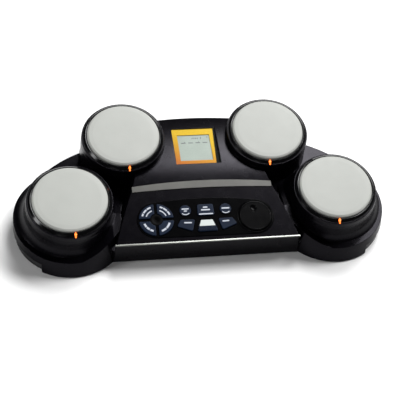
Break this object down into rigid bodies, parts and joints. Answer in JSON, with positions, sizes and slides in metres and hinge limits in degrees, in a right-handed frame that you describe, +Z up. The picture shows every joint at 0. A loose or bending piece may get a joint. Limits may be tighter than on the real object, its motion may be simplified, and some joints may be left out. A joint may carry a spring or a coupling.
{
  "type": "electronic drum pad",
  "caption": "Table-top electronic drum pad with round tilted rubber pads, a sloped key panel with jog dial, and a small framed display.",
  "frame": {"origin": "middle of the footprint at the bottom of the rubber feet", "axes": "+X to the player's right, +Y away from the player, +Z up"},
  "size_m": [0.493, 0.235, 0.0816],
  "materials": {
    "case_black": "semi-gloss moulded",
    "tub_black": "fine texture",
    "pad_rubber": "smooth matte",
    "ring_black": "gloss",
    "carrier_black": "moulded",
    "piezo_brass": "plain",
    "foam_grey": "open cell",
    "led_amber": "clear lens",
    "trim_chrome": "bright",
    "bar_silver": "satin silver",
    "panel_black": "semi-gloss",
    "key_slate": "satin",
    "dial_black": "semi-gloss",
    "window_clear": "clear",
    "lcd_yellow": "printed",
    "lcd_green": "polarised",
    "light_white": "diffuser",
    "board_green": "solder mask",
    "mat_grey": "silicone",
    "foot_rubber": "matte",
    "screw_steel": "zinc plated",
    "contact_nickel": "nickel plated",
    "jack_black": "plain",
    "basket_steel": "pressed",
    "cone_paper": "pulp"
  },
  "bodies": {
    "case": {"top_case": "case_black", "bottom_case": "tub_black", "battery_contacts": "contact_nickel", "case_screws": "screw_steel", "rubber_feet": "foot_rubber", "front_trim": "trim_chrome", "silver_bar": "bar_silver", "panel_plate": "panel_black", "dial_encoder": "jack_black", "keypad_mat": "mat_grey", "button_board": "board_green", "main_board": "board_green", "jack_board": "board_green", "lcd_window": "window_clear", "lcd_frame": "lcd_yellow", "lcd_glass": "lcd_green", "lcd_backlight": "light_white", "power_jack": "jack_black", "phones_jack": "jack_black", "aux_jack": "jack_black", "kick_jack": "jack_black", "hihat_jack": "jack_black", "pad_ring_front_left": "ring_black", "damper_foam_front_left": "foam_grey", "pad_ring_front_right": "ring_black", "damper_foam_front_right": "foam_grey", "pad_ring_rear_left": "ring_black", "damper_foam_rear_left": "foam_grey", "pad_ring_rear_right": "ring_black", "damper_foam_rear_right": "foam_grey", "pad_leds": "led_amber", "speaker_frame_left": "basket_steel", "speaker_frame_right": "basket_steel", "speaker_cone_left": "cone_paper", "speaker_cone_right": "cone_paper"},
    "pad_front_left": {"pad_face_front_left": "pad_rubber", "pad_plate_front_left": "carrier_black", "piezo_front_left": "piezo_brass"},
    "pad_front_right": {"pad_face_front_right": "pad_rubber", "pad_plate_front_right": "carrier_black", "piezo_front_right": "piezo_brass"},
    "pad_rear_left": {"pad_face_rear_left": "pad_rubber", "pad_plate_rear_left": "carrier_black", "piezo_rear_left": "piezo_brass"},
    "pad_rear_right": {"pad_face_rear_right": "pad_rubber", "pad_plate_rear_right": "carrier_black", "piezo_rear_right": "piezo_brass"},
    "wheel_key_ne_body": {"wheel_key_ne": "key_slate"},
    "wheel_key_nw_body": {"wheel_key_nw": "key_slate"},
    "wheel_key_sw_body": {"wheel_key_sw": "key_slate"},
    "wheel_key_se_body": {"wheel_key_se": "key_slate"},
    "round_key_left_body": {"round_key_left": "key_slate"},
    "round_key_right_body": {"round_key_right": "key_slate"},
    "square_key_body": {"square_key": "key_slate"},
    "wing_key_left_body": {"wing_key_left": "key_slate"},
    "wing_key_right_body": {"wing_key_right": "key_slate"},
    "centre_key_body": {"centre_key": "key_slate"},
    "dial": {"jog_dial": "dial_black"},
    "door": {"battery_door": "tub_black"}
  },
  "joints": [
    {"name": "front_left_strike", "type": "slide", "parent": "case", "child": "pad_front_left", "axis": [-0.0174, 0.0976, -0.9951], "range_m": [0, 0.0012], "stiffness_N_per_m": 9000, "springref_m": -0.00025},
    {"name": "front_right_strike", "type": "slide", "parent": "case", "child": "pad_front_right", "axis": [0.0174, 0.0976, -0.9951], "range_m": [0, 0.0012], "stiffness_N_per_m": 9000, "springref_m": -0.00025},
    {"name": "rear_left_strike", "type": "slide", "parent": "case", "child": "pad_rear_left", "axis": [-0.0087, 0.1132, -0.9935], "range_m": [0, 0.0012], "stiffness_N_per_m": 9000, "springref_m": -0.00025},
    {"name": "rear_right_strike", "type": "slide", "parent": "case", "child": "pad_rear_right", "axis": [0.0087, 0.1132, -0.9935], "range_m": [0, 0.0012], "stiffness_N_per_m": 9000, "springref_m": -0.00025},
    {"name": "wheel_key_ne_press", "type": "slide", "parent": "case", "child": "wheel_key_ne_body", "axis": [0, 0.1881, -0.9822], "range_m": [0, 0.0009], "stiffness_N_per_m": 700, "springref_m": -0.0004},
    {"name": "wheel_key_nw_press", "type": "slide", "parent": "case", "child": "wheel_key_nw_body", "axis": [0, 0.1881, -0.9822], "range_m": [0, 0.0009], "stiffness_N_per_m": 700, "springref_m": -0.0004},
    {"name": "wheel_key_sw_press", "type": "slide", "parent": "case", "child": "wheel_key_sw_body", "axis": [0, 0.1881, -0.9822], "range_m": [0, 0.0009], "stiffness_N_per_m": 700, "springref_m": -0.0004},
    {"name": "wheel_key_se_press", "type": "slide", "parent": "case", "child": "wheel_key_se_body", "axis": [0, 0.1881, -0.9822], "range_m": [0, 0.0009], "stiffness_N_per_m": 700, "springref_m": -0.0004},
    {"name": "round_key_left_press", "type": "slide", "parent": "case", "child": "round_key_left_body", "axis": [0, 0.1881, -0.9822], "range_m": [0, 0.0009], "stiffness_N_per_m": 700, "springref_m": -0.0004},
    {"name": "round_key_right_press", "type": "slide", "parent": "case", "child": "round_key_right_body", "axis": [0, 0.1881, -0.9822], "range_m": [0, 0.0009], "stiffness_N_per_m": 700, "springref_m": -0.0004},
    {"name": "square_key_press", "type": "slide", "parent": "case", "child": "square_key_body", "axis": [0, 0.1881, -0.9822], "range_m": [0, 0.0009], "stiffness_N_per_m": 700, "springref_m": -0.0004},
    {"name": "wing_key_left_press", "type": "slide", "parent": "case", "child": "wing_key_left_body", "axis": [0, 0.1881, -0.9822], "range_m": [0, 0.0009], "stiffness_N_per_m": 700, "springref_m": -0.0004},
    {"name": "wing_key_right_press", "type": "slide", "parent": "case", "child": "wing_key_right_body", "axis": [0, 0.1881, -0.9822], "range_m": [0, 0.0009], "stiffness_N_per_m": 700, "springref_m": -0.0004},
    {"name": "centre_key_press", "type": "slide", "parent": "case", "child": "centre_key_body", "axis": [0, 0.1881, -0.9822], "range_m": [0, 0.0009], "stiffness_N_per_m": 700, "springref_m": -0.0004},
    {"name": "dial_turn", "type": "hinge", "parent": "case", "child": "dial", "pos_m": [0.064, -0.06695, 0.04313], "axis": [0, -0.1881, 0.9822], "continuous": true},
    {"name": "door_hinge", "type": "hinge", "parent": "case", "child": "door", "pos_m": [0, -0.0194, 0.0039], "axis": [1, 0, 0], "range_deg": [0, 95]}
  ]
}
